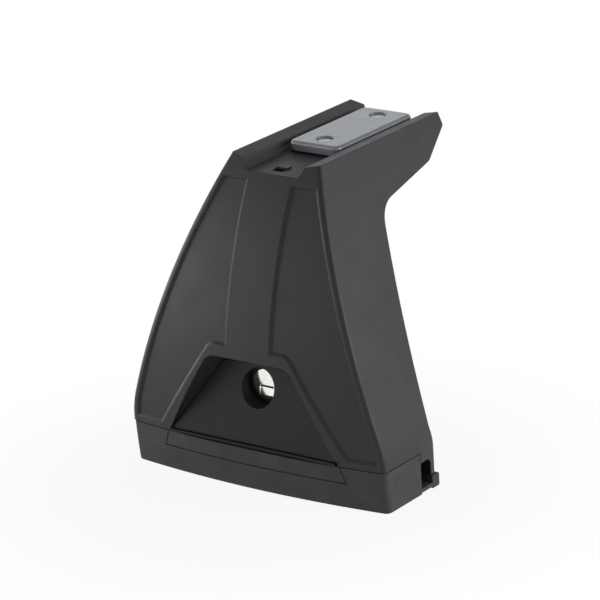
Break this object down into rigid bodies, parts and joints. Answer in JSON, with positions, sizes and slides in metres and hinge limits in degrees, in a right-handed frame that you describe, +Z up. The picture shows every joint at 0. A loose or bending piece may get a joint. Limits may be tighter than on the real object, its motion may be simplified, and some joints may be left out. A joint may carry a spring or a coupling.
{
  "type": "roof bar foot",
  "caption": "Moulded roof bar leg with a bar channel, overhang, rubber pad, lockable access cover and a bolted clamp plate for the bar.",
  "frame": {"origin": "point on the flat underside of the rubber pad, midway across the foot", "axes": "+X across the foot to the right seen from the outer face, +Y along the bar from the outer face towards the overhang, +Z up"},
  "size_m": [0.1454, 0.1276, 0.1513],
  "materials": {
    "moulded_plastic": "fine grained charcoal moulding",
    "cover_plastic": "fine grained charcoal moulding",
    "pad_rubber": "matt",
    "zinc_steel": "zinc plated",
    "clamp_steel": "bright zinc plated",
    "bolt_steel": "zinc plated",
    "spring_steel": "dark zinc",
    "lock_body": "black painted die casting",
    "lock_brass": "turned",
    "lock_face": "polished"
  },
  "bodies": {
    "foot": {"leg_housing": "moulded_plastic", "foot_pad": "pad_rubber", "foot_plate": "zinc_steel", "foot_plate_screw_left": "zinc_steel", "foot_plate_screw_right": "zinc_steel", "access_cover": "cover_plastic", "lock_sleeve": "lock_body", "sleeve_clip": "spring_steel", "front_flat_washer": "bolt_steel", "rear_flat_washer": "bolt_steel", "front_spring_washer": "spring_steel", "rear_spring_washer": "spring_steel"},
    "lock_core": {"lock_barrel": "lock_brass", "barrel_cap": "lock_face", "lock_wafers": "lock_brass", "lock_cam": "zinc_steel", "cam_screw": "zinc_steel"},
    "front_bolt": {"front_clamp_bolt": "bolt_steel"},
    "rear_bolt": {"rear_clamp_bolt": "bolt_steel"},
    "clamp_plate": {"bar_clamp_plate": "clamp_steel"}
  },
  "joints": [
    {"name": "lock_turn", "type": "hinge", "parent": "foot", "child": "lock_core", "pos_m": [0, 0, 0.0476], "axis": [0, 1, 0], "range_deg": [0, 90]},
    {"name": "plate_lift", "type": "slide", "parent": "foot", "child": "clamp_plate", "axis": [0, 0, 1], "range_m": [-0.0005, 0.0025]},
    {"name": "front_bolt_turn", "type": "hinge", "parent": "foot", "child": "front_bolt", "pos_m": [0, 0.0551, 0.14], "axis": [0, 0, 1], "range_deg": [-720, 144]},
    {"name": "rear_bolt_turn", "type": "hinge", "parent": "foot", "child": "rear_bolt", "pos_m": [0, 0.0977, 0.14], "axis": [0, 0, 1], "range_deg": [-720, 144]}
  ],
  "couplings": [
    {"joint": "front_bolt_turn", "follows": "plate_lift", "rad_per_m": -5026.5},
    {"joint": "rear_bolt_turn", "follows": "plate_lift", "rad_per_m": -5026.5}
  ]
}
